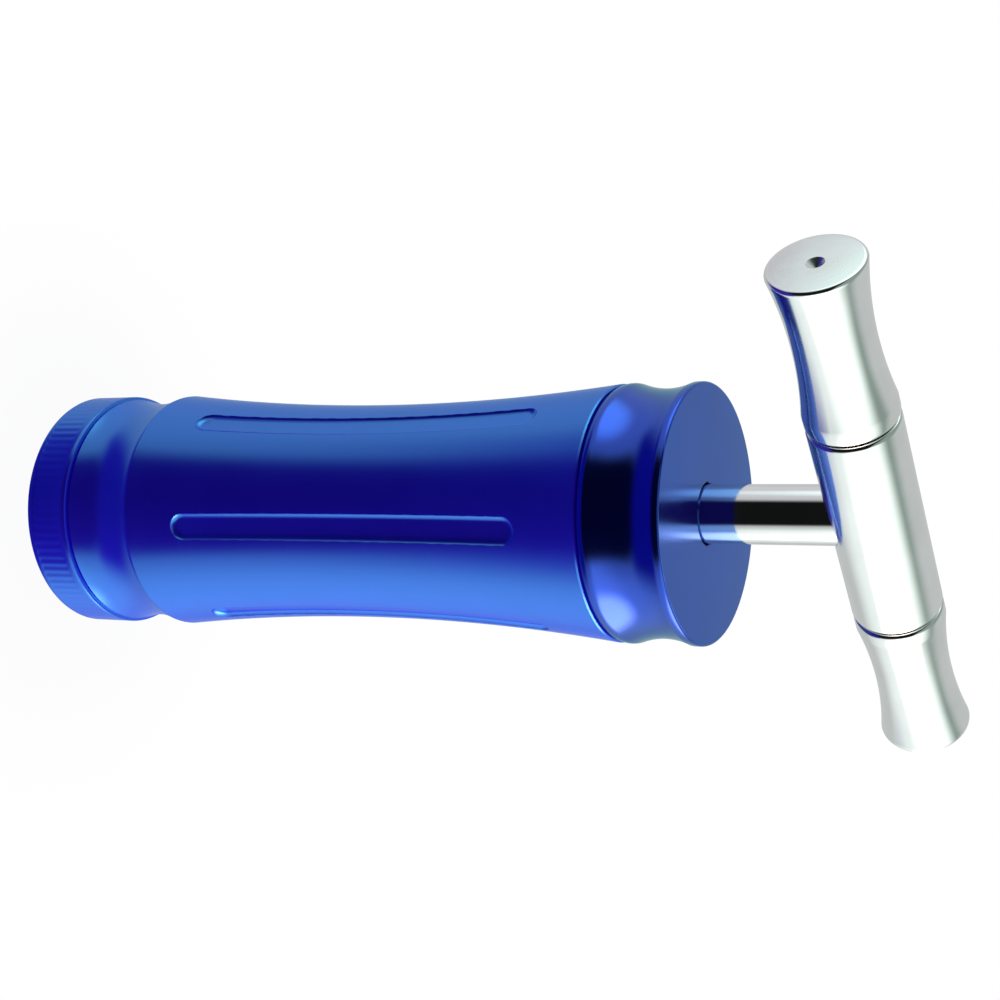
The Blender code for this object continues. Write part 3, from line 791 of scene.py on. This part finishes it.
def plastic(name):
    """The white washer's waxy plastic."""
    made, graph, shader = surface(name)
    place = graph.node("ShaderNodeTexCoord").outputs["Object"]
    cloud = graph.noise(place, 400.0, 4.0, 0.5)
    share = graph.ranged(cloud, 0.35, 0.65, 0.0, 1.0)
    tone = graph.mixed(share, (0.74, 0.74, 0.7, 1), (0.84, 0.84, 0.82, 1))
    graph.feed(shader.inputs["Base Color"], tone)
    graph.feed(shader.inputs["Roughness"], graph.ranged(cloud, 0.3, 0.7, 0.35, 0.5))
    shader.inputs["Subsurface Weight"].default_value = 0.1
    shader.inputs["Subsurface Radius"].default_value = (0.5 * MM, 0.5 * MM, 0.5 * MM)
    graph.feed(shader.inputs["Normal"], graph.bump(cloud, 0.15, MARK_DEPTH))
    return made


# ---------------------------------------------------------------- stage


def light_tent():
    """A world like a product light tent: bright sides, a grey roof, and a dark gap for the lens."""
    world = bpy.data.worlds.new("light_tent")
    world.use_nodes = True
    bpy.context.scene.world = world
    graph = Graph(world.node_tree)
    way = graph.node("ShaderNodeTexCoord").outputs["Generated"]

    def along(direction):
        """How nearly the way looked is along a direction: its dot product."""
        dot = graph.node("ShaderNodeVectorMath", operation="DOT_PRODUCT")
        graph.feed(dot.inputs[0], way)
        dot.inputs[1].default_value = direction
        return dot.outputs["Value"]

    facing = Vector((CAMERA_PLACE.x, CAMERA_PLACE.y, 0)).normalized()
    side = facing.cross(Vector((0, 0, 1)))

    def heading(turn, lift):
        """A direction: turn degrees round from the lens, and lift degrees up."""
        angle, rise = math.radians(turn), math.radians(lift)
        flat = facing * math.cos(angle) + side * math.sin(angle)
        return flat * math.cos(rise) + Vector((0, 0, math.sin(rise)))

    def spot(turn, lift, inner, outer):
        """A soft round patch: 1 within inner degrees of a direction and 0 beyond outer."""
        low, high = math.cos(math.radians(outer)), math.cos(math.radians(inner))
        return graph.eased(along(heading(turn, lift)), low, high)

    def window(direction, centre, half, squareness):
        """Grows from 0 at the gap's centre, past 1 at its edge, in one direction."""
        offset = graph.math("DIVIDE", graph.math("SUBTRACT", along(direction), centre), half)
        return graph.math("POWER", graph.math("ABSOLUTE", offset), squareness)

    up = (0, 0, 1)
    tent = (0.56, 0.58, 0.58, 1.0)
    roof = (0.27, 0.34, 0.31, 1.0)
    shade = (0.03, 0.02, 0.3, 1.0)
    dark = (0.006, 0.007, 0.007, 1.0)
    # Each patch of light: its turn and lift, its inner and outer reach in degrees, and its colour
    patches = {
        "fill": (100, 0, 32, 44, (0.66, 0.64, 0.68, 1.0)),
        "glint": (90, 6, 10, 30, (1.4, 1.8, 1.7, 1.0)),
        "key": (-95, -14, 10, 46, (0.95, 1.02, 1.0, 1.0)),
        "high_key": (-80, 22, 14, 50, (1.3, 1.4, 1.35, 1.0)),
        "lamp": (-98, 5, 14, 30, (5.5, 4.4, 4.0, 1.0)),
    }

    # The tent's grey roof, light again at the back, and its dim violet foot in front
    colour = graph.mixed(graph.eased(along(up), 0.2, 0.6), tent, roof)
    behind = graph.eased(along(heading(180, 35)), 0.75, 0.97)
    colour = graph.mixed(behind, colour, tent)
    below = graph.eased(along(up), -0.64, -0.52, 1.0, 0.0)
    before = graph.eased(along(facing), -0.25, 0.2)
    colour = graph.mixed(graph.math("MULTIPLY", below, before), colour, shade)
    for turn, lift, inner, outer, glow in patches.values():
        colour = graph.mixed(spot(turn, lift, inner, outer), colour, glow)

    # The dark gap for the lens: a window with soft edges, in front only
    edge = graph.math("ADD", window(side, 0.05, 0.7, 4.0), window(up, 0.02, 0.66, 8.0))
    inside = graph.eased(edge, 0.55, 1.45, 1.0, 0.0)
    ahead = graph.ranged(along(facing), 0.0, 0.1, 0.0, 1.0)
    colour = graph.mixed(graph.math("MULTIPLY", inside, ahead), colour, dark)
    background = graph.node("ShaderNodeBackground")
    graph.feed(background.inputs["Color"], colour)
    output = graph.node("ShaderNodeOutputWorld")
    graph.feed(output.inputs["Surface"], background.outputs[0])


def glowing_white(name):
    """A plain white emission material for the backdrop."""
    made = bpy.data.materials.new(name)
    made.use_nodes = True
    graph = Graph(made.node_tree)
    light = graph.node("ShaderNodeEmission")
    light.inputs["Color"].default_value = (1, 1, 1, 1)
    light.inputs["Strength"].default_value = 1.0
    output = graph.node("ShaderNodeOutputMaterial")
    graph.feed(output.inputs["Surface"], light.outputs[0])
    return made


def only_seen(piece):
    """The camera sees this piece, and reflections and shadows don't."""
    for kind in ("diffuse", "glossy", "transmission", "volume_scatter", "shadow"):
        setattr(piece, "visible_" + kind, False)


def make_stage():
    """A white dome, and a pale floor that takes a faint shadow near the object."""
    outline = []
    for step in range(DOME_STEPS + 1):
        angle = step * math.pi / DOME_STEPS
        outline.append((DOME_RADIUS * math.sin(angle), DOME_RADIUS * math.cos(angle)))
    dome = revolve("backdrop", outline, [glowing_white("backdrop_white")], 48)
    only_seen(dome)
    made, graph, shader = surface("floor_paper")
    place = graph.node("ShaderNodeTexCoord").outputs["Object"]
    distance = graph.node("ShaderNodeVectorMath", operation="LENGTH")
    graph.feed(distance.inputs[0], place)
    shader.inputs["Base Color"].default_value = (0.9, 0.9, 0.9, 1)
    shader.inputs["Roughness"].default_value = 0.9
    shader.inputs["Specular IOR Level"].default_value = 0.0
    white = graph.node("ShaderNodeEmission")
    share = graph.eased(distance.outputs["Value"], 0.02, 0.06, 0.95, 1.0)
    blend = graph.node("ShaderNodeMixShader")
    graph.feed(blend.inputs[0], share)
    graph.feed(blend.inputs[1], shader.outputs[0])
    graph.feed(blend.inputs[2], white.outputs[0])
    output = next(node for node in graph.tree.nodes if node.type == "OUTPUT_MATERIAL")
    graph.feed(output.inputs["Surface"], blend.outputs[0])
    floor = revolve("floor", [(0, -FLOOR_DROP), (FLOOR_RADIUS, -FLOOR_DROP)], [made], COARSE)
    only_seen(floor)


def make_camera():
    """The camera looks down from the front left, and is rolled so that the press points to the right."""
    data = bpy.data.cameras.new("camera")
    data.lens = CAMERA_LENS
    data.sensor_width = 36.0
    data.clip_start = 0.01
    data.clip_end = 20.0
    camera = bpy.data.objects.new("camera", data)
    bpy.context.scene.collection.objects.link(camera)
    camera.location = CAMERA_PLACE
    looking = (CAMERA_AIM - CAMERA_PLACE).to_track_quat("-Z", "Y")
    camera.rotation_mode = "QUATERNION"
    camera.rotation_quaternion = looking @ Quaternion((0, 0, 1), CAMERA_ROLL)
    bpy.context.scene.camera = camera


# ---------------------------------------------------------------- the scene


def dress_cad(names, look):
    """Gives some CAD nodes a better material."""
    for name in names:
        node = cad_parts[name]
        node.data.materials.clear()
        node.data.materials.append(look)


def build():
    """Makes every piece, its material, the stage and the camera."""
    satin_dye = (0.2, 5.0, (0.06, 0.56, 0.5))
    glossy_dye = (0.86, 20.0, (0.06, 0.62, 0.6))
    face_dye = (0.6, 20.0, (0.17, 0.46, 0.6))
    satin = anodised("satin_anodised", (0.03, 0.001, 1.0), 0.2, 0.4, 0.2, satin_dye)
    glossy = anodised("glossy_anodised", (0.005, 0.0005, 0.58), 0.15, 0.6, 0.3, glossy_dye)
    cap_face = anodised("glossy_face", (0.02, 0.001, 0.55), 0.18, 0.3, 0.3, face_dye)
    chrome = metal("chrome", (0.86, 0.88, 0.87), 0.07, 0.04, spread=0.01)
    chrome_bar = metal("chrome_bar", (0.86, 0.88, 0.87), 0.13, 0.04, along_x=True, spread=0.01)
    chrome_face = metal("chrome_face", (0.76, 0.77, 0.76), 0.3, 0.3, along_x=True, spread=0.05)
    steel = metal("ground_steel", (0.5, 0.51, 0.52), 0.3, 0.35)
    bronze = metal("bronze", (0.6, 0.36, 0.13), 0.33, 0.35)
    black = rubber("black_rubber")
    white = plastic("white_washer")

    make_barrel(satin)
    make_base(satin)
    make_top_cap(glossy, cap_face)
    seal = (SEAL_RING_RADIUS, SEAL_RADIUS)
    wiper = (WIPER_RING_RADIUS, WIPER_RADIUS)
    make_o_ring("base_o_ring", "base_seal", "base_cap", *seal, BASE_SEAL_HEIGHT, black)
    make_o_ring("cap_o_ring", "cap_seal", "top_cap", *seal, CAP_SEAL_HEIGHT, black)
    make_o_ring("wiper_ring", "spindle_wiper", "top_cap", *wiper, sum(WIPER_GROOVE) / 2, black)
    make_spindle(chrome)
    make_hub(chrome_bar)
    make_grip("grip_right_body", "grip_right", 1, chrome_bar, chrome_face)
    make_grip("grip_left_body", "grip_left", -1, chrome_bar, chrome_face)
    dress_cad(["lower_slug", "upper_piston", "piston_snap_ring", "thrust_ball"], steel)
    dress_cad(["crossbar_rod", "nut_circlip", "nut_pin"], steel)
    dress_cad(["spindle_nut", "stop_washer"], bronze)
    dress_cad(["cap_washer"], white)
    light_tent()
    make_stage()
    make_camera()
    bpy.context.scene.view_settings.view_transform = "Standard"


build()
